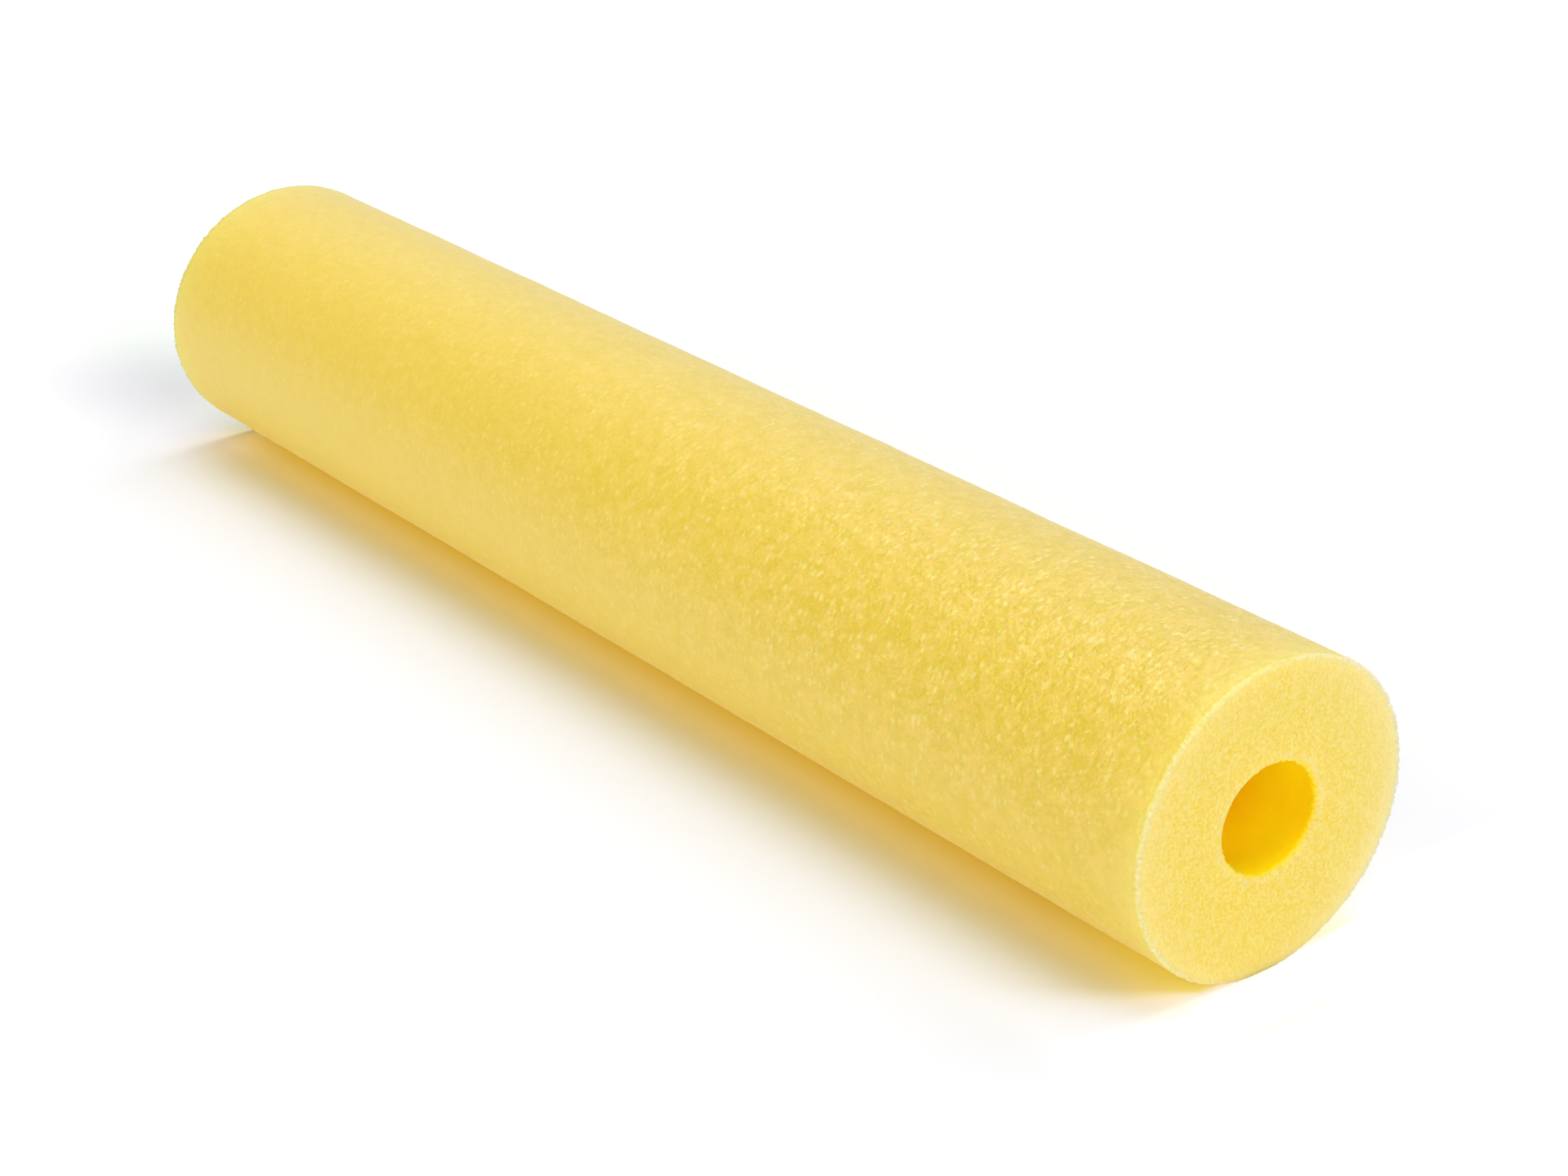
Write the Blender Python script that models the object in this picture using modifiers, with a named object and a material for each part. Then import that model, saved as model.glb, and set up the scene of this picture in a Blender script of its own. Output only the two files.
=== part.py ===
"""A pool noodle: one straight length of closed-cell polyethylene foam tube with a bore through it.

The tube lies along X on the plane Z = 0, +Z up, sizes in metres. Both ends are cut square. The end at +X
is the one whose bore faces the viewer. The soft tube has settled where it lies: it is a little wider than
it is high, and it stands on a narrow flat.
"""

import bmesh
import bpy
from math import radians
from mathutils import Matrix, Vector

# The extruded tube
LENGTH = 0.352
OUTER_WIDTH = 0.0666
OUTER_HEIGHT = 0.0634
RESTING_FLAT_DEPTH = 0.0005
RIM_EASE = 0.0009

# The bore, which the extrusion leaves a little off the middle
BORE_WIDTH = 0.0234
BORE_HEIGHT = 0.0222
BORE_SIDESTEP = 0.0007
BORE_LIFT = 0.0007

# How far every cutter runs past the foam it cuts
CUT_OVERRUN = 0.004

# Facets
OUTER_SIDES = 128
BORE_SIDES = 64
RIM_STEPS = 3
SHARP_ANGLE = radians(35)

# The foam's finish, in linear colour
FOAM_COLOUR = (0.84, 0.62, 0.11, 1.0)
FOAM_ROUGHNESS = 0.75
FOAM_METALLIC = 0.0

AXIS_HEIGHT = OUTER_HEIGHT / 2 - RESTING_FLAT_DEPTH


def clear_scene():
    """Remove whatever the open file holds."""
    for existing in list(bpy.data.objects):
        bpy.data.objects.remove(existing, do_unlink=True)


def new_collection(name):
    """A collection of the scene."""
    collection = bpy.data.collections.new(name)
    bpy.context.scene.collection.children.link(collection)
    return collection


def foam_material():
    """Matte yellow foam."""
    material = bpy.data.materials.new("yellow_foam")
    material.use_nodes = True
    shader = material.node_tree.nodes["Principled BSDF"]
    shader.inputs["Base Color"].default_value = FOAM_COLOUR
    shader.inputs["Roughness"].default_value = FOAM_ROUGHNESS
    shader.inputs["Metallic"].default_value = FOAM_METALLIC
    material.diffuse_color = FOAM_COLOUR
    return material


def elliptic_bar(name, width, height, length, sides, collection):
    """A closed elliptic bar along X, centred on its own origin."""
    mesh = bpy.data.meshes.new(name)
    shape = bmesh.new()
    bmesh.ops.create_cone(
        shape,
        cap_ends=True,
        segments=sides,
        radius1=1.0,
        radius2=1.0,
        depth=1.0,
    )
    bmesh.ops.rotate(shape, verts=shape.verts, matrix=Matrix.Rotation(radians(90), 3, "Y"))
    bmesh.ops.scale(shape, verts=shape.verts, vec=Vector((length, width / 2, height / 2)))
    bmesh.ops.recalc_face_normals(shape, faces=shape.faces)
    shape.to_mesh(mesh)
    shape.free()
    bar = bpy.data.objects.new(name, mesh)
    collection.objects.link(bar)
    return bar


def box(name, size, collection):
    """A box, centred on its own origin."""
    mesh = bpy.data.meshes.new(name)
    shape = bmesh.new()
    bmesh.ops.create_cube(shape, size=1.0)
    bmesh.ops.scale(shape, verts=shape.verts, vec=size)
    shape.to_mesh(mesh)
    shape.free()
    block = bpy.data.objects.new(name, mesh)
    collection.objects.link(block)
    return block


def as_cutter(cutter):
    """Show an object as a wire only, and keep it out of the render."""
    cutter.display_type = "WIRE"
    cutter.hide_render = True
    return cutter


def cut(target, cutter):
    """Take one cutter's shape out of the target."""
    boolean = target.modifiers.new(cutter.name, "BOOLEAN")
    boolean.operation = "DIFFERENCE"
    boolean.object = cutter


def bore_cutter(collection):
    """The bore's shape, past both cut ends."""
    cutter = elliptic_bar(
        "bore_cutter",
        BORE_WIDTH,
        BORE_HEIGHT,
        LENGTH + 2 * CUT_OVERRUN,
        BORE_SIDES,
        collection,
    )
    cutter.location = (0, -BORE_SIDESTEP, AXIS_HEIGHT + BORE_LIFT)
    return as_cutter(cutter)


def floor_cutter(collection):
    """The slab of foam that the resting flat takes off the tube's underside."""
    depth = RESTING_FLAT_DEPTH + CUT_OVERRUN
    cutter = box(
        "floor_cutter",
        Vector((LENGTH + 2 * CUT_OVERRUN, OUTER_WIDTH + 2 * CUT_OVERRUN, depth)),
        collection,
    )
    cutter.location = (0, 0, -depth / 2)
    return as_cutter(cutter)


def foam_tube(collection, cutters):
    """The foam itself, with eased rims, its bore and its resting flat."""
    tube = elliptic_bar("foam_tube", OUTER_WIDTH, OUTER_HEIGHT, LENGTH, OUTER_SIDES, collection)
    tube.location = (0, 0, AXIS_HEIGHT)
    tube.data.shade_smooth()
    tube.data.set_sharp_from_angle(angle=SHARP_ANGLE)
    tube.data.materials.append(foam_material())
    ease = tube.modifiers.new("eased_rims", "BEVEL")
    ease.width = RIM_EASE
    ease.segments = RIM_STEPS
    ease.limit_method = "ANGLE"
    ease.angle_limit = SHARP_ANGLE
    cut(tube, bore_cutter(cutters))
    cut(tube, floor_cutter(cutters))
    return tube


def main():
    """Build the noodle."""
    clear_scene()
    parts = new_collection("pool_noodle")
    cutters = new_collection("cutters")
    foam_tube(parts, cutters)


main()
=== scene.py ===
"""The looks of a short pool noodle: soft yellow foam, cut square, lying on a white floor.

The foam tube stands for the frame's one solid. It is spun from the outline of its wall, settled into its
slightly flattened section, and given the foam's own relief. All lengths are in metres.
"""

from math import pi, radians

import bpy
import numpy as np
from bpy.props import FloatProperty, FloatVectorProperty, IntProperty, PointerProperty
from bpy.types import Operator, Panel, PropertyGroup
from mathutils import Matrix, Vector


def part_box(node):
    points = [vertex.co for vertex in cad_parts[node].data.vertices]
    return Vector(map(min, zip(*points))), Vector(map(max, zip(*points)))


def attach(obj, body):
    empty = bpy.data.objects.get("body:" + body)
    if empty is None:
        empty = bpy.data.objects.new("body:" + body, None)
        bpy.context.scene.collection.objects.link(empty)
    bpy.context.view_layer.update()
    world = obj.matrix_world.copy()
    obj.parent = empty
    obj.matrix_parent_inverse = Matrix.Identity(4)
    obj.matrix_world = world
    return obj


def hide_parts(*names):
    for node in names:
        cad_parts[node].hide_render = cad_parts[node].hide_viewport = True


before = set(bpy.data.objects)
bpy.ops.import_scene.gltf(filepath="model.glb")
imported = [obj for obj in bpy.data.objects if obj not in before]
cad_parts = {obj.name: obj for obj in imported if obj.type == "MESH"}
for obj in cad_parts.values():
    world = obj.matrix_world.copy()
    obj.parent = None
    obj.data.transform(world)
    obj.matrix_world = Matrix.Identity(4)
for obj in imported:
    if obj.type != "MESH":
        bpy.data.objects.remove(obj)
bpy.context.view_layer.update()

bl_info = {
    "name": "Pool noodle",
    "version": (1, 0, 0),
    "blender": (4, 5, 0),
    "location": "View3D > Sidebar > Noodle",
    "description": "Models and dresses a short foam pool noodle on a white floor",
    "category": "Object",
}

TUBE_LOW, TUBE_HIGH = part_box("foam_tube")
LENGTH = TUBE_HIGH.x - TUBE_LOW.x
OUTER_WIDTH = TUBE_HIGH.y - TUBE_LOW.y
MM = 0.001
WHITE = (1, 1, 1, 1)

# The mesh.
RIM_STEPS = 3  # edges across each eased rim
WEDGES = 8  # the skin is spun as one wedge, and the wedge is repeated
MOST_CUTS = 60  # cuts that one subdivision makes at the most
JOIN_WITHIN = 0.01 * MM  # points of the spun skin that are nearer than this become one
ON_BORE = 1.2  # points within this many bore radii of the tube's axis are the bore's
ON_WALL = 1.1  # and faces within this many of the bore's own middle
SKIN_SLOT, FACE_SLOT, BORE_SLOT = range(3)

# The relief.
WEIGHT_STEPS = 100  # levels of the vertex groups' weights
SWELL_DETAIL = 2  # layers of noise in the slow swellings
CELL_CONTRAST = 1.4  # how sharply the cells stand out
BORE_CELLS = 0.15  # the cells' height in the bore, as a share of that in the skin
RIM_TORN = 0.56  # the torn cells' height at the outer rims, as a share of that at the bore's mouths
RIM_REACH = 1.0 * MM  # how far the torn cells reach from the outer rims
MOUTH_REACH = 0.9 * MM  # and from the bore's mouths

# The shaders.
SCATTER_BY_COLOUR = (1.0, 0.8, 0.4)  # how far red, green and blue light spread, as shares
FOAM_IOR = 1.5
SHEEN_ROUGHNESS = 0.5
MIX_A, MIX_B, MIX_RESULT = 6, 7, 2  # the colour sockets of a mix node

# The stage.
FLOOR_SIZE = 8
NEAREST_SEEN = 10 * MM
LIGHT_BOUNCES = 12
LAMPS = {  # each with the direction in which it stands
    "top_light": (0, 0, 1),
    "back_light": (0, 0.5, 0.87),
    "end_light": (0.82, 0, 0.57),
    "near_card": (0.69, -0.69, 0.21),
    "front_card": (0, -0.98, 0.21),
}


def bore_box():
    """The bore's lowest and highest corner, from the solid's vertices near its axis."""
    vertices = [v.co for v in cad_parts["foam_tube"].data.vertices]
    middle = (TUBE_LOW + TUBE_HIGH) / 2
    reach = OUTER_WIDTH / 4
    near = [p for p in vertices if (p - middle).yz.length < reach]
    low = Vector(min(p[i] for p in near) for i in range(3))
    high = Vector(max(p[i] for p in near) for i in range(3))
    return low, high


BORE_LOW, BORE_HIGH = bore_box()


def colour(name, description, default):
    """A colour that a user can change."""
    return FloatVectorProperty(
        name=name, description=description, default=default, size=3, min=0, max=1, subtype="COLOR"
    )


def length(name, description, default):
    """A length that a user can change."""
    return FloatProperty(
        name=name, description=description, default=default, min=0, unit="LENGTH", precision=5
    )


class FoamSizes(PropertyGroup):
    """Sizes of the foam tube and of its relief."""

    resting_flat: length("Resting flat", "How deep the tube has settled", 0.5 * MM)
    rim_ease: length("Rim ease", "How far each cut rim is rounded", 0.8 * MM)
    rim_band: length("Rim band", "Length at each end with the closest rings", 3 * MM)
    sides: IntProperty(name="Sides", description="Steps around the tube", default=768, min=64)
    fine_step: length("Fine step", "Spacing of the rings in the rim bands", 0.3 * MM)
    coarse_step: length("Coarse step", "Spacing of the rings between the bands", 1.4 * MM)
    face_step: length("Face step", "Spacing of the rings on the cut faces", 0.5 * MM)
    bore_step: length("Bore step", "Spacing of the rings in the bore", 4 * MM)
    swell_size: length("Swell size", "Width of the slow swellings of the skin", 24 * MM)
    swell_height: length("Swell height", "Height of the slow swellings", 0.28 * MM)
    cell_size: length("Cell size", "Width of the foam's cells", 1.25 * MM)
    cell_height: length("Cell height", "Height of the cells in the skin", 0.07 * MM)
    torn_size: length("Torn size", "Width of the torn cells on the cut rims", 0.62 * MM)
    nibble_height: length("Nibble height", "Height of the torn cells on the cut rims", 1.0 * MM)


class FoamColours(PropertyGroup):
    """Colours of the foam, with the painted light, glints and highlights laid into them."""

    gold: colour("Gold", "The deeper patches of the skin", (0.815, 0.595, 0.005))
    straw: colour("Straw", "The paler patches of the skin", (0.89, 0.64, 0.06))
    fleck: colour("Fleck", "Drawn-out cells of the skin", (0.98, 0.82, 0.22))
    # Painted highlights: pale spots in the colour where cell walls would catch the light.
    glint: colour("Glint", "Cell walls that catch the light", (1.0, 0.9, 0.5))
    # Painted light: the skin paler near the cut rims, where light comes through the thin edge.
    rim: colour("Rim", "The paler skin at the cut rims", (0.87, 0.8, 0.17))
    # Painted light: the paler foam round the cut faces, where light comes through the thin edge.
    face_rim_light: colour("Face rim", "The paler foam round the cut faces", (0.85, 0.75, 0.39))
    # Torn cells on the cut rims and the bore's mouths, pale as a painted edge highlight.
    torn_cells_and_highlight: colour("Ridge", "The torn cells on the cut rims", (0.78, 0.71, 0.6))
    face: colour("Cut face", "The cut cells of the end faces", (0.88, 0.71, 0.155))
    face_speck: colour("Face speck", "Open cells of the end faces", (0.85, 0.62, 0.015))
    mouth: colour("Mouth", "The cut face at the bore's mouth", (0.88, 0.63, 0.02))
    bore: colour("Bore", "The bore's deep yellow wall", (0.98, 0.79, 0.004))
    bore_deep: colour("Deeper bore", "The deeper patches of the bore's wall", (0.98, 0.76, 0.003))
    bore_glow: colour("Bore glow", "Light that comes through the foam", (0.03, 0.015, 0.0))


class StageSettings(PropertyGroup):
    """Camera, light and floor."""

    lens: FloatProperty(
        name="Lens", description="Focal length", default=72.71, min=1, subtype="DISTANCE_CAMERA"
    )
    camera_place: FloatVectorProperty(
        name="Camera place",
        description="Where the camera stands",
        default=(0.5168, -0.3739, 0.3026),
        unit="LENGTH",
        subtype="TRANSLATION",
    )
    camera_pitch: FloatProperty(
        name="Camera pitch", description="How far it looks down", default=radians(24.357), unit="ROTATION"
    )
    camera_turn: FloatProperty(
        name="Camera turn", description="Its turn from +Y", default=radians(52.286), unit="ROTATION"
    )
    sky: FloatProperty(name="Sky", description="Light from all round", default=0.06, min=0)
    top_light: FloatProperty(name="Top light", description="Light from overhead", default=1.44, min=0)
    back_light: FloatProperty(name="Back light", description="Light from behind", default=0.8, min=0)
    end_light: FloatProperty(name="End light", description="Light on the cut end", default=1.03, min=0)
    near_card: FloatProperty(
        name="Near card", description="Light from a low card by the camera", default=0.92, min=0
    )
    front_card: FloatProperty(
        name="Front card", description="Light from a low card in front", default=0.72, min=0
    )
    spread: FloatProperty(
        name="Spread", description="Width of each lamp", default=radians(40), unit="ROTATION"
    )
    flag_place: FloatVectorProperty(
        name="Flag place",
        description="The direction in which the dark flag stands",
        default=(-0.75, -0.62, 0.2),
        subtype="XYZ",
    )
    flag_shade: FloatProperty(
        name="Flag shade", description="How dark the flag is", default=0.9, min=0, max=1, subtype="FACTOR"
    )
    floor: colour("Floor", "The white floor", (1.0, 1.0, 1.0))
    # Painted shadow on the floor: cool and a little dark beside the foam, and grey-blue past its far end.
    shadow_beside_foam: colour("Beside the foam", "The floor about the noodle", (0.85, 0.875, 0.95))
    shadow_beyond_foam: colour("Beyond the foam", "The floor past the far end", (0.82, 0.82, 0.88))
    under_foam: colour("Under the foam", "The floor where the foam shades it", (0.82, 0.72, 0.07))
    through_foam: colour("Through the foam", "Light that the foam lets down", (0.16, 0.12, 0.055))
    returned: colour("Returned light", "More of that light, as the foam gets it back", (0.13, 0.095, 0.0))
    floor_in_gloss: colour("Floor in gloss", "The floor as the foam's gloss shows it", (0.95, 0.75, 0.3))
    floor_lift: colour("Floor lift", "What the camera sees the floor brighter by", (0.035, 0.035, 0.035))
    # Painted light and shade on the floor, seen only by the camera: a painted golden shade at the contact,
    # a painted golden light at the near end, and painted light at the ends and in the gap that pales the
    # foam's shadow.
    contact_lift: colour("Contact lift", "The same close to the foam", (0.0, 0.035, 0.004))
    near_lift: colour("Near lift", "The same close to the foam at the near end", (0.13, 0.14, 0.01))
    end_lift: colour("End lift", "The same at the near end", (0.33, 0.35, 0.5))
    far_lift: colour("Far lift", "The same at the far end", (0.15, 0.13, 0.18))
    gap_lift: colour("Gap lift", "The same in the gap under the near end's far side", (0.33, 0.3, 0.38))


def start_fresh():
    """Nothing selected, in object mode."""
    if bpy.context.object and bpy.context.object.mode != "OBJECT":
        bpy.ops.object.mode_set(mode="OBJECT")
    bpy.ops.object.select_all(action="DESELECT")


def pick_edges(mesh_object, test):
    """In edit mode, select the edges that pass a test of their two ends."""
    bpy.ops.mesh.select_mode(type="EDGE")
    bpy.ops.mesh.select_all(action="DESELECT")
    bpy.ops.object.mode_set(mode="OBJECT")
    points = mesh_object.data.vertices
    for edge in mesh_object.data.edges:
        edge.select = test(points[edge.vertices[0]].co, points[edge.vertices[1]].co)
    bpy.ops.object.mode_set(mode="EDIT")


def points_of(mesh):
    """The places of a mesh's vertices, as an array."""
    flat = np.empty(len(mesh.vertices) * 3)
    mesh.vertices.foreach_get("co", flat)
    return flat.reshape(-1, 3)


class Section:
    """The tube's section across its length."""

    def __init__(self, sizes):
        self.width = OUTER_WIDTH
        self.height = TUBE_HIGH.z - TUBE_LOW.z + sizes.resting_flat
        self.axis_height = TUBE_LOW.z + self.height / 2 - sizes.resting_flat
        self.outer = (self.width + self.height) / 4
        bore_size = BORE_HIGH - BORE_LOW
        bore_middle = (BORE_HIGH + BORE_LOW) / 2
        self.bore_width = bore_size.y
        self.bore_height = bore_size.z
        self.bore = (bore_size.y + bore_size.z) / 4
        self.bore_side = bore_middle.y
        self.bore_lift = bore_middle.z - self.axis_height
        self.end = LENGTH / 2


def wall_outline(sizes, section):
    """The outline of the tube's wall above its axis, cut along the tube, with its rings' spacing."""
    start_fresh()
    middle = section.axis_height + (section.outer + section.bore) / 2
    bpy.ops.mesh.primitive_plane_add(size=1, rotation=(radians(90), 0, 0), location=(0, 0, middle))
    outline = bpy.context.object
    outline.name = "noodle_foam"
    outline.scale = (LENGTH, section.outer - section.bore, 1)
    bpy.ops.object.transform_apply(location=True, rotation=True, scale=True)
    bpy.ops.object.mode_set(mode="EDIT")
    bpy.ops.mesh.select_all(action="SELECT")
    bpy.ops.mesh.delete(type="ONLY_FACE")
    bpy.ops.mesh.select_all(action="SELECT")
    bpy.ops.mesh.bevel(offset=sizes.rim_ease, segments=RIM_STEPS, affect="VERTICES")
    for side in (-1, 1):
        bpy.ops.mesh.select_all(action="SELECT")
        bpy.ops.mesh.bisect(
            plane_co=(side * (section.end - sizes.rim_band), 0, 0), plane_no=(1, 0, 0)
        )
    space_rings(outline, sizes, section, middle)
    bpy.ops.object.mode_set(mode="OBJECT")
    return outline


def space_rings(outline, sizes, section, middle):
    """Subdivide the outline's straight runs, each at its own spacing."""
    band = section.end - sizes.rim_band
    slack = sizes.rim_ease / 10

    def along(a, b):
        return abs(a.z - b.z) < slack

    def in_band(a, b):
        return along(a, b) and abs(a.x + b.x) / 2 > band

    def between(a, b):
        return along(a, b) and abs(a.x + b.x) / 2 < band

    runs = (
        (lambda a, b: abs(a.x - b.x) < slack, section.outer - section.bore, sizes.face_step),
        (lambda a, b: in_band(a, b) and a.z > middle, sizes.rim_band, sizes.fine_step),
        (lambda a, b: between(a, b) and a.z > middle, 2 * band, sizes.coarse_step),
        (lambda a, b: in_band(a, b) and a.z < middle, sizes.rim_band, sizes.fine_step),
        (lambda a, b: between(a, b) and a.z < middle, 2 * band, sizes.bore_step),
    )
    for is_run, run_length, step in runs:
        pick_edges(outline, is_run)
        parts = round(run_length / step)
        lengths = 1 + parts // MOST_CUTS
        if lengths > 1:
            bpy.ops.mesh.subdivide(number_cuts=lengths - 1)
        bpy.ops.mesh.subdivide(number_cuts=round(parts / lengths) - 1)


def spin_tube(tube, sizes, section):
    """Spin the outline round the tube's axis into a closed skin."""
    start_fresh()
    bpy.context.view_layer.objects.active = tube
    tube.select_set(True)
    bpy.ops.object.mode_set(mode="EDIT")
    bpy.ops.mesh.select_mode(type="VERT")
    bpy.ops.mesh.select_all(action="SELECT")
    axis = {"center": (0, 0, section.axis_height), "axis": (1, 0, 0)}
    bpy.ops.mesh.spin(steps=sizes.sides // WEDGES, angle=2 * pi / WEDGES, **axis)
    bpy.ops.mesh.select_all(action="SELECT")
    bpy.ops.mesh.spin(steps=WEDGES - 1, angle=2 * pi * (WEDGES - 1) / WEDGES, dupli=True, **axis)
    bpy.ops.mesh.select_all(action="SELECT")
    bpy.ops.mesh.remove_doubles(threshold=JOIN_WITHIN)
    bpy.ops.mesh.normals_make_consistent(inside=False)
    bpy.ops.object.mode_set(mode="OBJECT")
    bpy.ops.object.shade_smooth()


def settle(tube, section):
    """Press the round section into its flattened one, and move the bore to its place off the middle."""
    points = points_of(tube.data)
    side = points[:, 1]
    rise = points[:, 2] - section.axis_height
    radius = np.hypot(side, rise)
    share = np.clip((radius - section.bore) / (section.outer - section.bore), 0, 1)

    def between(at_bore, at_skin):
        return at_bore * (1 - share) + at_skin * share

    wide = between(section.bore_width / section.bore / 2, section.width / section.outer / 2)
    high = between(section.bore_height / section.bore / 2, section.height / section.outer / 2)
    points[:, 1] = side * wide + section.bore_side * (1 - share)
    points[:, 2] = section.axis_height + rise * high + section.bore_lift * (1 - share)
    tube.data.vertices.foreach_set("co", points.ravel())
    tube.data.update()


def weigh(tube, name, weights):
    """A vertex group from an array of weights, in even steps."""
    group = tube.vertex_groups.new(name=name)
    steps = np.round(weights * WEIGHT_STEPS).astype(int)
    for step in np.unique(steps):
        if step:
            group.add(np.flatnonzero(steps == step).tolist(), step / WEIGHT_STEPS, "REPLACE")


def relief(tube, name, kind, size, height, group):
    """Raise and sink the skin with one texture, and apply it."""
    texture = bpy.data.textures.new(name, kind)
    texture.noise_scale = size
    if kind == "VORONOI":
        texture.distance_metric = "DISTANCE"
        texture.noise_intensity = CELL_CONTRAST
    else:
        texture.noise_depth = SWELL_DETAIL
    push = tube.modifiers.new(name, "DISPLACE")
    push.texture = texture
    push.texture_coords = "LOCAL"
    push.strength = height
    push.mid_level = 0.5
    push.vertex_group = group
    bpy.context.view_layer.objects.active = tube
    bpy.ops.object.modifier_apply(modifier=name)


def give_relief(tube, sizes, section):
    """The foam's slow swellings, its cells, and the torn cells on the cut rims."""
    points = points_of(tube.data)
    radius = np.hypot(points[:, 1], points[:, 2] - section.axis_height)
    from_end = section.end - np.abs(points[:, 0])
    inside = (radius < section.bore * ON_BORE) & (from_end > sizes.fine_step / 2)
    to_rim = np.hypot(from_end, np.maximum(section.outer - radius, 0))
    to_mouth = np.hypot(from_end, radius - section.bore)
    weigh(tube, "skin", np.where(inside, 0.0, 1.0))
    weigh(tube, "cells", np.where(inside, BORE_CELLS, 1.0))
    at_rim = RIM_TORN * np.exp(-((to_rim / RIM_REACH) ** 2))
    at_mouth = np.exp(-((to_mouth / MOUTH_REACH) ** 2))
    weigh(tube, "rims", np.maximum(at_rim, at_mouth))
    relief(tube, "swellings", "CLOUDS", sizes.swell_size, sizes.swell_height, "skin")
    relief(tube, "cells", "VORONOI", sizes.cell_size, sizes.cell_height, "cells")
    relief(tube, "torn_cells", "VORONOI", sizes.torn_size, sizes.nibble_height, "rims")
    points = points_of(tube.data)
    points[:, 2] = np.maximum(points[:, 2], TUBE_LOW.z)
    tube.data.vertices.foreach_set("co", points.ravel())
    tube.data.update()


def slot_faces(tube, section, rim_ease):
    """The material slot of each face, by its place."""
    count = len(tube.data.polygons)
    centres = np.empty(count * 3)
    tube.data.polygons.foreach_get("center", centres)
    centres = centres.reshape(-1, 3)
    radius = np.hypot(
        centres[:, 1] - section.bore_side, centres[:, 2] - section.axis_height - section.bore_lift
    )
    from_end = section.end - np.abs(centres[:, 0])
    bore = (radius < section.bore * ON_WALL) & (from_end > rim_ease / 2)
    cut = ~bore & (from_end < rim_ease / 2)
    slots = np.where(bore, BORE_SLOT, np.where(cut, FACE_SLOT, SKIN_SLOT)).astype(np.int32)
    tube.data.polygons.foreach_set("material_index", slots)


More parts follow.
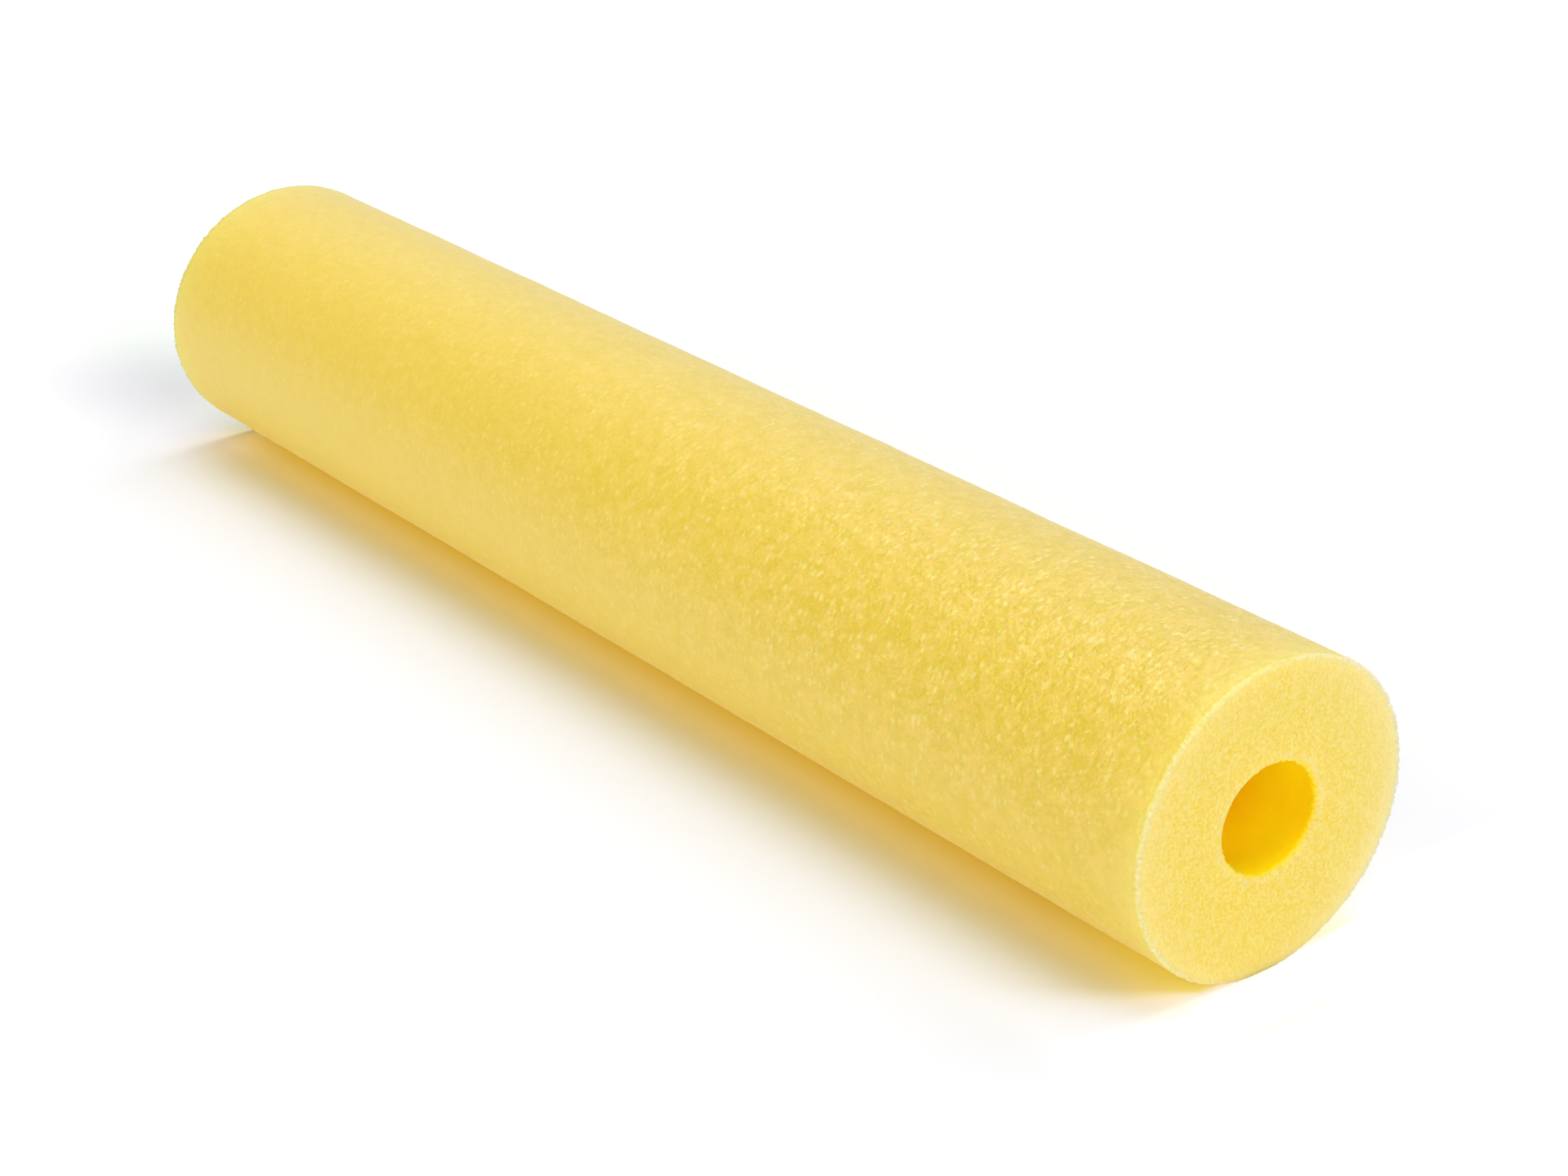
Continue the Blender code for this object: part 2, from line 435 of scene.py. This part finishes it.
class Nodes:
    """Short calls for the nodes of one tree."""

    def __init__(self, tree):
        self.tree = tree

    def link(self, source, socket):
        """Join an output, or set a plain value."""
        if isinstance(source, bpy.types.NodeSocket):
            self.tree.links.new(source, socket)
        else:
            socket.default_value = source

    def node(self, kind, sockets=None, **settings):
        """A new node of one kind, with its settings, and what goes into its sockets."""
        node = self.tree.nodes.new("ShaderNode" + kind)
        for name, value in settings.items():
            setattr(node, name, value)
        for socket, source in (sockets or {}).items():
            self.link(source, node.inputs[socket])
        return node

    def math(self, operation, *values, clamp=False):
        """One sum of up to three values."""
        node = self.node("Math", dict(enumerate(values)), operation=operation, use_clamp=clamp)
        return node.outputs[0]

    def times(self, a, b):
        """Two values multiplied."""
        return self.math("MULTIPLY", a, b)

    def rest(self, share):
        """What a share leaves of one."""
        return self.math("SUBTRACT", 1.0, share)

    def scaled(self, value, gain, start):
        """A value times a gain, added to a start."""
        return self.math("MULTIPLY_ADD", value, gain, start)

    def swing(self, pattern, gain, about, mean=0.5, clamp=False):
        """A pattern's swing about its mean, times a gain, laid about another value."""
        return self.math("MULTIPLY_ADD", self.math("SUBTRACT", pattern, mean), gain, about, clamp=clamp)

    def faded(self, pattern, mean, strength):
        """A pattern with more or less contrast about its mean."""
        return self.swing(pattern, strength, mean, mean)

    def ramp(self, value, low, high, start=0.0, end=1.0):
        """The start below low, the end above high, and smooth between."""
        sockets = {"Value": value, "From Min": low, "From Max": high, "To Min": start, "To Max": end}
        return self.node("MapRange", sockets, interpolation_type="SMOOTHSTEP").outputs["Result"]

    def fall(self, value, reach, softness, centre=0.0):
        """1 about the centre, 0 far from it on both sides, and half at its reach."""
        if centre:
            value = self.math("ADD", value, -centre)
        steps = self.math("DIVIDE", self.math("SUBTRACT", self.math("ABSOLUTE", value), reach), softness)
        return self.math("DIVIDE", 1.0, self.math("ADD", 1.0, self.math("EXPONENT", steps)))

    def ellipse(self, wide, high):
        """The distance from the middle of an ellipse, as a share of its radius that way."""
        squares = self.math("ADD", self.times(wide, wide), self.times(high, high))
        return self.math("SQRT", squares)

    def mix(self, share, a, b):
        """From colour a to colour b."""
        colours = [c if isinstance(c, bpy.types.NodeSocket) else (*c, 1) for c in (a, b)]
        sockets = {"Factor": share, MIX_A: colours[0], MIX_B: colours[1]}
        return self.node("Mix", sockets, data_type="RGBA").outputs[MIX_RESULT]

    def cover(self, base, pattern, colour, share):
        """A colour laid over a base where a pattern is high, and no more than by the share."""
        return self.mix(self.times(pattern, share), base, colour)

    def tint(self, colour, brightness):
        """A colour made darker or brighter."""
        sockets = {"Vector": colour, "Scale": brightness}
        return self.node("VectorMath", sockets, operation="SCALE").outputs["Vector"]

    def add(self, a, b):
        """Two colours added."""
        return self.node("VectorMath", {0: a, 1: b}, operation="ADD").outputs["Vector"]

    def noise(self, vector, size, detail=2, roughness=0.5):
        """Noise with features of one size, in the vector's unit."""
        sockets = {"Vector": vector, "Scale": 1 / size, "Detail": detail, "Roughness": roughness}
        return self.node("TexNoise", sockets).outputs["Fac"]

    def cells(self, vector, size, feature="F1"):
        """Cells of one size, in the vector's unit."""
        sockets = {"Vector": vector, "Scale": 1 / size}
        return self.node("TexVoronoi", sockets, feature=feature).outputs["Distance"]

    def spots(self, vector, size, hidden):
        """Soft round spots of many strengths, one in each cell of that size. A share of them is hidden."""
        cell = self.node("TexVoronoi", {"Vector": vector, "Scale": 1 / size})
        near = self.rest(self.ramp(cell.outputs["Distance"], low=0.1, high=0.5))
        parts = self.node("SeparateColor", {"Color": cell.outputs["Color"]})
        return self.times(near, self.ramp(parts.outputs["Red"], low=hidden, high=1.0))

    def waver(self, vector, size, reach):
        """A vector that strays from its place by up to about the reach."""
        noise = self.node("TexNoise", {"Vector": vector, "Scale": 1 / size, "Detail": 0})
        sockets = {0: noise.outputs["Color"], 1: (reach, reach, reach), 2: vector}
        return self.node("VectorMath", sockets, operation="MULTIPLY_ADD").outputs["Vector"]

    def stretch(self, vector, y_scale):
        """A vector with its Y part scaled."""
        sockets = {"Vector": vector, "Scale": (1, y_scale, 1)}
        return self.node("Mapping", sockets).outputs["Vector"]

    def place(self):
        """Object coordinates, and their parts."""
        place = self.node("TexCoord").outputs["Object"]
        return place, *self.node("SeparateXYZ", {"Vector": place}).outputs


class Finish(Nodes):
    """A new material, with short calls for its shader."""

    def __init__(self, name):
        self.material = bpy.data.materials.new(name)
        self.material.use_nodes = True
        super().__init__(self.material.node_tree)
        self.shader = self.tree.nodes["Principled BSDF"]

    def give(self, socket, source):
        """Join an output to one of the shader's sockets, or set a plain value there."""
        self.link(source, self.shader.inputs[socket])

    def bump(self, height, distance, under=None, strength=1.0):
        """A bump of that height in metres, over another one."""
        sockets = {"Distance": distance, "Strength": strength, "Height": height}
        if under is not None:
            sockets["Normal"] = under
        return self.node("Bump", sockets).outputs["Normal"]

    def foam(self, scatter_depth, roughness=None, sheen=0.2, gloss=0.8):
        """What all of the foam shares. A roughness that varies is given apart."""
        if roughness is not None:
            self.give("Roughness", roughness)
        self.give("Subsurface Weight", 1.0)
        self.give("Subsurface Radius", SCATTER_BY_COLOUR)
        self.give("Subsurface Scale", scatter_depth)
        self.give("IOR", FOAM_IOR)
        self.give("Specular IOR Level", gloss)
        self.give("Sheen Weight", sheen)
        self.give("Sheen Roughness", SHEEN_ROUGHNESS)


def texture_strength(n, x, z, section):
    """How strong the skin's texture is: weak at the far end and below, strong near the near end."""
    late_growth = 1.5
    along = n.math("POWER", n.ramp(x, low=-section.end, high=section.end), late_growth)
    along = n.scaled(along, gain=1.0, start=0.3)
    rise = n.math("DIVIDE", n.math("SUBTRACT", z, section.axis_height), section.outer)
    above = n.scaled(n.ramp(rise, low=-0.3, high=0.65), gain=0.5, start=0.5)
    near_end = n.ramp(x, low=section.end - 16 * MM, high=section.end - 4 * MM)
    return n.times(n.times(along, above), n.scaled(near_end, gain=-0.3, start=1.0))


def around(n, x, y, z, section):
    """The place on the tube's skin: along it as X, and round it as Y."""
    angle = n.math("ARCTAN2", y, n.math("SUBTRACT", z, section.axis_height))
    return n.node("CombineXYZ", {"X": x, "Y": n.times(angle, section.outer)}).outputs["Vector"]


def side_of_bore(n, y, section):
    """How far to the side of the bore's middle, as a share of half its width."""
    return n.math("DIVIDE", n.math("SUBTRACT", y, section.bore_side), section.bore_width / 2)


def from_mouth(n, y, z, section):
    """The distance outwards from the bore's mouth."""
    rise = n.math("SUBTRACT", z, section.axis_height + section.bore_lift)
    rise = n.math("DIVIDE", rise, section.bore_height / 2)
    out = n.ellipse(side_of_bore(n, y, section), rise)
    return n.times(n.math("SUBTRACT", out, 1.0), section.bore)


def pale_rim(n, base, from_rim, place, pale, torn_cells_and_highlight, reach, share, torn_share):
    """Painted light about a cut rim, by the distance from it: paler foam where light comes through the thin
    edge. Along the edge, a little painted shade, and the line of torn cells, pale with a painted highlight.
    """
    away = n.math("MAXIMUM", from_rim, 0.0)
    soft = n.math("EXPONENT", n.math("DIVIDE", away, -reach))
    base = n.cover(base, soft, pale, share)
    line = n.rest(n.ramp(away, low=0.2 * MM, high=1.8 * MM))
    torn = n.ramp(n.noise(place, size=1.0 * MM, detail=1), low=0.25, high=0.7)
    # Painted shade: a little darker along the edge's line.
    base = n.tint(base, n.scaled(line, gain=-0.12, start=1.0))
    # The torn cells, pale with the edge's painted highlight.
    return n.cover(base, n.times(line, torn), torn_cells_and_highlight, torn_share)


def skin_patches(n, place, grain, strength, colours):
    """Soft patches of the skin's two yellows, broken up by its grain."""
    patch = n.noise(place, size=3.2 * MM, roughness=0.6)
    blend = n.faded(n.swing(patch, gain=4.5, about=grain), mean=0.5, strength=strength)
    return n.mix(n.math("MAXIMUM", blend, 0.0), colours.gold, colours.straw)


def skin_flecks(n, base, place, drawn, strength, colours):
    """Pale flecks of two sizes, and specks a little darker and brighter."""
    fleck = n.faded(n.spots(drawn, size=1.7 * MM, hidden=0.0), mean=0.075, strength=strength)
    base = n.cover(base, fleck, colours.fleck, share=0.7)
    small = n.spots(n.stretch(drawn, y_scale=1.2), size=1.1 * MM, hidden=0.2)
    base = n.cover(base, n.faded(small, mean=0.06, strength=strength), colours.fleck, share=0.5)
    speck = n.ramp(n.noise(place, size=0.45 * MM, detail=1), low=0.3, high=0.7)
    speck = n.faded(speck, mean=0.5, strength=strength)
    return n.tint(base, n.scaled(speck, gain=0.07, start=0.955))


def skin_material(colours, section):
    """The extruded skin: patches, pale flecks where cells are drawn out round the tube, and painted glints.
    """
    n = Finish("foam_skin")
    place, x, y, z = n.place()
    strength = texture_strength(n, x, z, section)
    on_skin = around(n, x, y, z, section)
    drawn = n.stretch(n.waver(on_skin, size=1.1 * MM, reach=0.9 * MM), y_scale=0.75)
    grain = n.noise(drawn, size=0.6 * MM, roughness=0.6)
    base = skin_patches(n, place, grain, strength, colours)
    base = skin_flecks(n, base, place, drawn, strength, colours)
    # Painted glints: pale spots laid into the skin's colour, in clusters.
    where = n.ramp(n.noise(place, size=6 * MM, detail=1), low=0.35, high=0.6)
    glint = n.times(n.spots(drawn, size=1.5 * MM, hidden=0.6), where)
    glint = n.faded(glint, mean=0.015, strength=strength)
    base = n.cover(base, glint, colours.glint, share=0.4)
    from_end = n.math("SUBTRACT", section.end, n.math("ABSOLUTE", x))
    # Painted light near the cut ends: the skin paler towards the rims.
    base = pale_rim(
        n, base, from_end, place, colours.rim, colours.torn_cells_and_highlight, reach=5.5 * MM, share=0.48, torn_share=0.1
    )
    n.give("Base Color", base)
    smoother = n.times(glint, 0.15)
    n.give("Roughness", n.math("SUBTRACT", 0.47, smoother))
    cells = n.cells(place, size=1.2 * MM, feature="SMOOTH_F1")
    normal = n.bump(cells, distance=0.22 * MM, strength=strength)
    n.give("Normal", n.bump(grain, distance=0.2 * MM, under=normal, strength=strength))
    n.foam(scatter_depth=6 * MM)
    return n.material


def cut_cells(n, place, colours):
    """The open cells of a cut face, with specks a little darker and brighter and a few painted glints as
    bright dots.
    """
    patch = n.noise(place, size=2.2 * MM, roughness=0.6)
    grain = n.noise(place, size=0.65 * MM, roughness=0.6)
    grain = n.swing(grain, gain=4.0, about=0.5)
    blend = n.swing(patch, gain=2.0, about=grain, clamp=True)
    base = n.mix(blend, colours.face_speck, colours.face)
    cell = n.spots(place, size=0.75 * MM, hidden=0.2)
    base = n.cover(base, cell, colours.fleck, share=0.4)
    speck = n.ramp(n.noise(place, size=0.8 * MM, detail=1), low=0.35, high=0.6)
    base = n.tint(base, n.scaled(speck, gain=0.05, start=0.955))
    # Painted glints: a few bright dots in the glint colour.
    dots = n.spots(place, size=1.3 * MM, hidden=0.75)
    return n.cover(base, dots, colours.glint, share=0.35)


def torn_mouth(n, base, away, place, colours):
    """The torn cells about the bore's mouth, pale with a painted edge highlight, and its deeper edge."""
    torn = n.ramp(n.noise(place, size=0.7 * MM, detail=1), low=0.4, high=0.65)
    about = n.rest(n.ramp(away, low=0.6 * MM, high=2.6 * MM))
    # Torn cells with a painted edge highlight.
    base = n.cover(base, n.times(about, torn), colours.torn_cells_and_highlight, share=0.4)
    edge = n.rest(n.ramp(away, low=0.1 * MM, high=1.4 * MM))
    return n.cover(base, edge, colours.mouth, share=0.9)


def face_material(colours, section):
    """The cut faces: open cells, with painted light paler towards the rim, most on the far side and least
    below.
    """
    n = Finish("foam_cut_face")
    place, _, y, z = n.place()
    base = cut_cells(n, place, colours)
    wide = n.math("DIVIDE", y, section.width / 2)
    high = n.math("DIVIDE", n.math("SUBTRACT", z, section.axis_height), section.height / 2)
    inwards = n.times(n.rest(n.ellipse(wide, high)), section.outer)
    # Painted light: the rim paler on the far side, which the back light reaches, and less pale below; the
    # torn cells' painted highlight is stronger on the far side.
    far_side = n.math("MAXIMUM", wide, 0.0)
    below = n.math("MINIMUM", high, 0.0)
    paler = n.scaled(n.math("ABSOLUTE", wide), gain=0.3, start=0.12)
    paler = n.scaled(far_side, gain=0.45, start=paler)
    paler = n.scaled(below, gain=-0.25, start=paler)
    torn = n.scaled(far_side, gain=0.6, start=0.25)
    base = pale_rim(
        n, base, inwards, place, colours.face_rim_light, colours.torn_cells_and_highlight, reach=5 * MM, share=paler, torn_share=torn
    )
    base = torn_mouth(n, base, from_mouth(n, y, z, section), place, colours)
    n.give("Base Color", base)
    n.give("Normal", n.bump(n.cells(place, size=0.7 * MM), distance=0.12 * MM))
    n.foam(scatter_depth=6 * MM, roughness=0.7)
    return n.material


def bore_material(colours, section):
    """The bore's smooth wall, deep yellow with the light that comes through the foam, and painted shade and
    light by its mouths.
    """
    n = Finish("foam_bore")
    place, x, y, _ = n.place()
    patch = n.ramp(n.noise(place, size=9 * MM), low=0.3, high=0.7)
    base = n.mix(patch, colours.bore_deep, colours.bore)
    # Painted shade and light at the mouth: the wall darker towards +Y and lighter towards -Y.
    at_mouth = n.ramp(n.math("ABSOLUTE", x), low=section.end - 7 * MM, high=section.end)
    shade = n.times(at_mouth, side_of_bore(n, y, section))
    n.give("Base Color", n.tint(base, n.scaled(shade, gain=-0.12, start=1.0)))
    n.give("Emission Color", (*colours.bore_glow, 1))
    n.give("Emission Strength", 1.0)
    n.give("Normal", n.bump(n.noise(place, size=1.2 * MM), distance=0.1 * MM))
    n.foam(scatter_depth=3 * MM, roughness=0.6, sheen=0.0, gloss=0.1)
    return n.material


class NOODLE_OT_foam_tube(Operator):
    """Model the foam tube from its wall's outline, and dress it"""

    bl_idname = "noodle.foam_tube"
    bl_label = "Foam tube"

    def execute(self, context):
        sizes = context.scene.noodle_sizes
        colours = context.scene.noodle_colours
        section = Section(sizes)
        tube = wall_outline(sizes, section)
        spin_tube(tube, sizes, section)
        settle(tube, section)
        give_relief(tube, sizes, section)
        for make_material in (skin_material, face_material, bore_material):
            tube.data.materials.append(make_material(colours, section))
        slot_faces(tube, section, sizes.rim_ease)
        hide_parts("foam_tube")
        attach(tube, "root")
        return {"FINISHED"}


def floor_colour(n, x, y, contact, settings):
    """Painted shadow in the floor's colour: golden under the foam, a little blue beside it and beyond its
    far end.
    """
    end = LENGTH / 2
    near_x = n.fall(x, reach=end + 20 * MM, softness=12 * MM)
    near = n.times(near_x, n.fall(y, reach=85 * MM, softness=12 * MM))
    beyond_x = n.fall(x, centre=-end - 40 * MM, reach=30 * MM, softness=9 * MM)
    beyond_y = n.fall(y, centre=-18 * MM, reach=22 * MM, softness=7 * MM)
    # Painted shadow beside the foam and past its far end.
    beside = n.mix(near, settings.floor, settings.shadow_beside_foam)
    base = n.mix(n.times(beyond_x, beyond_y), beside, settings.shadow_beyond_foam)
    # Painted shadow under the foam, deepest at the contact.
    shade = n.fall(y, reach=25 * MM, softness=5.5 * MM)
    shade = n.math("MULTIPLY_ADD", n.rest(shade), contact, shade)
    within = n.fall(x, reach=end, softness=4 * MM)
    return n.mix(n.times(within, shade), base, settings.under_foam)


def past_near_end(n, beyond_end, y, not_far):
    """1 on the floor just past the near end. In front of the foam its edge leans, softens and fades."""
    front_edge = -14 * MM
    first_fade = 0.33
    forwards = n.math("MAXIMUM", n.math("SUBTRACT", front_edge, y), 0.0)
    past = n.scaled(forwards, gain=0.6, start=n.math("ADD", beyond_end, 1.5 * MM))
    softness = n.scaled(forwards, gain=0.7, start=2.5 * MM)
    past = n.ramp(n.math("DIVIDE", past, softness), low=-0.5, high=0.5)
    less = n.times(n.ramp(forwards, low=0.0, high=8 * MM), -first_fade)
    less = n.scaled(n.ramp(forwards, low=15 * MM, high=42 * MM), gain=first_fade - 1, start=less)
    return n.times(n.times(past, not_far), n.math("ADD", 1.0, less))


def floor_lift(n, x, y, settings):
    """What the camera sees the floor brighter by: evenly everywhere, and painted light and shade close to
    the foam and at its two ends.
    """
    end = LENGTH / 2
    close = n.fall(y, reach=18 * MM, softness=2.5 * MM)
    beyond_end = n.math("SUBTRACT", x, end)
    not_far = n.rest(n.ramp(beyond_end, low=5 * MM, high=15 * MM))
    # Painted golden shade at the contact, and painted golden light there near the near end.
    lift = n.mix(close, settings.floor_lift, settings.contact_lift)
    by_near_end = n.times(close, n.ramp(x, low=end - 45 * MM, high=end - 5 * MM))
    lift = n.add(lift, n.tint(settings.near_lift, by_near_end))
    # Painted light past the near end, at the far end and in the gap, paling the foam's shadow.
    lift = n.mix(past_near_end(n, beyond_end, y, not_far), lift, settings.end_lift)
    far_x = n.fall(x, centre=-end + 2 * MM, reach=10 * MM, softness=4 * MM)
    far_y = n.fall(y, centre=-27 * MM, reach=12 * MM, softness=4 * MM)
    by_far_end = n.times(n.times(far_x, far_y), n.scaled(close, gain=-0.7, start=1.0))
    lift = n.add(lift, n.tint(settings.far_lift, by_far_end))
    gap = n.times(n.ramp(beyond_end, low=-14 * MM, high=-5 * MM), not_far)
    gap = n.times(gap, n.ramp(y, low=0.0, high=8 * MM))
    return n.add(lift, n.tint(settings.gap_lift, gap))


def floor_material(settings):
    """White, with painted shadow, light and reflection about the foam, and the golden light that the foam
    lets through beneath it.
    """
    n = Finish("white_floor")
    _, x, y, _ = n.place()
    path = n.node("LightPath")
    seen = path.outputs["Is Camera Ray"]
    contact = n.fall(y, reach=16 * MM, softness=2.5 * MM)
    base = floor_colour(n, x, y, contact, settings)
    # Painted reflection: close to the foam, the foam's gloss sees the floor golden.
    in_gloss = n.times(path.outputs["Is Glossy Ray"], n.fall(y, reach=34 * MM, softness=5 * MM))
    n.give("Base Color", n.mix(in_gloss, base, settings.floor_in_gloss))
    n.give("Roughness", 0.9)
    n.give("Specular IOR Level", 0.0)
    through_x = n.fall(x, reach=LENGTH / 2 + 2 * MM, softness=2 * MM)
    through = n.times(through_x, n.fall(y, reach=26 * MM, softness=2.2 * MM))
    seen_through = n.times(through, n.scaled(contact, gain=-0.85, start=1.0))
    unseen = n.times(n.rest(seen), through)
    glow = n.add(n.tint(settings.through_foam, seen_through), n.tint(settings.returned, unseen))
    n.give("Emission Color", n.add(glow, n.tint(floor_lift(n, x, y, settings), seen)))
    n.give("Emission Strength", 1.0)
    return n.material


def sun(name, strength, spread, towards):
    """A soft lamp far away, in one direction from the noodle."""
    data = bpy.data.lights.new(name, "SUN")
    data.energy = strength
    data.angle = spread
    lamp = bpy.data.objects.new(name, data)
    lamp.rotation_mode = "QUATERNION"
    lamp.rotation_quaternion = Vector(towards).to_track_quat("Z", "Y")
    bpy.context.scene.collection.objects.link(lamp)


def white_room(settings):
    """White behind the noodle and in its gloss, where a flag dims one side, and weak light all round."""
    world = bpy.data.worlds.new("studio")
    bpy.context.scene.world = world
    world.use_nodes = True
    n = Nodes(world.node_tree)
    light = n.tree.nodes["Background"]
    light.inputs["Color"].default_value = WHITE
    light.inputs["Strength"].default_value = settings.sky
    path = n.node("LightPath")
    direction = n.node("TexCoord").outputs["Generated"]
    flag = Vector(settings.flag_place).normalized()
    towards = n.node("VectorMath", {0: direction, 1: flag}, operation="DOT_PRODUCT").outputs["Value"]
    dim = n.ramp(towards, low=0.5, high=1.0, start=1.0, end=1.0 - settings.flag_shade)
    glossy = n.times(path.outputs["Is Glossy Ray"], dim)
    seen = n.math("MAXIMUM", path.outputs["Is Camera Ray"], glossy)
    white = n.node("Background", {"Color": WHITE}).outputs["Background"]
    mix = n.node("MixShader", {"Fac": seen, 1: light.outputs["Background"], 2: white})
    n.link(mix.outputs["Shader"], n.tree.nodes["World Output"].inputs["Surface"])


def place_camera(settings):
    """The camera at the photo's angle."""
    data = bpy.data.cameras.new("camera")
    data.lens = settings.lens
    data.clip_start = NEAREST_SEEN
    camera = bpy.data.objects.new("camera", data)
    camera.location = settings.camera_place
    camera.rotation_euler = (pi / 2 - settings.camera_pitch, 0, settings.camera_turn)
    bpy.context.scene.collection.objects.link(camera)
    bpy.context.scene.camera = camera


class NOODLE_OT_stage(Operator):
    """Add the floor, the lamps, the world and the camera"""

    bl_idname = "noodle.stage"
    bl_label = "Stage"

    def execute(self, context):
        settings = context.scene.noodle_stage
        start_fresh()
        bpy.ops.mesh.primitive_plane_add(size=FLOOR_SIZE, location=(0, 0, TUBE_LOW.z))
        floor = context.object
        floor.name = "floor"
        floor.data.materials.append(floor_material(settings))
        white_room(settings)
        for name, towards in LAMPS.items():
            sun(name, getattr(settings, name), settings.spread, towards)
        place_camera(settings)
        context.scene.view_settings.view_transform = "Standard"
        context.scene.cycles.diffuse_bounces = LIGHT_BOUNCES
        return {"FINISHED"}


class NOODLE_PT_panel(Panel):
    """The noodle's pieces"""

    bl_label = "Pool noodle"
    bl_idname = "NOODLE_PT_panel"
    bl_space_type = "VIEW_3D"
    bl_region_type = "UI"
    bl_category = "Noodle"

    def draw(self, context):
        self.layout.operator("noodle.foam_tube")
        self.layout.operator("noodle.stage")


CLASSES = (
    FoamSizes,
    FoamColours,
    StageSettings,
    NOODLE_OT_foam_tube,
    NOODLE_OT_stage,
    NOODLE_PT_panel,
)


def register():
    """Add the classes and their settings to Blender."""
    for added in CLASSES:
        bpy.utils.register_class(added)
    bpy.types.Scene.noodle_sizes = PointerProperty(type=FoamSizes)
    bpy.types.Scene.noodle_colours = PointerProperty(type=FoamColours)
    bpy.types.Scene.noodle_stage = PointerProperty(type=StageSettings)


def unregister():
    """Take them out again."""
    del bpy.types.Scene.noodle_stage
    del bpy.types.Scene.noodle_colours
    del bpy.types.Scene.noodle_sizes
    for added in reversed(CLASSES):
        bpy.utils.unregister_class(added)


def main():
    """Build the noodle and its stage."""
    register()
    bpy.ops.noodle.stage()
    bpy.ops.noodle.foam_tube()


if __name__ == "__main__":
    main()
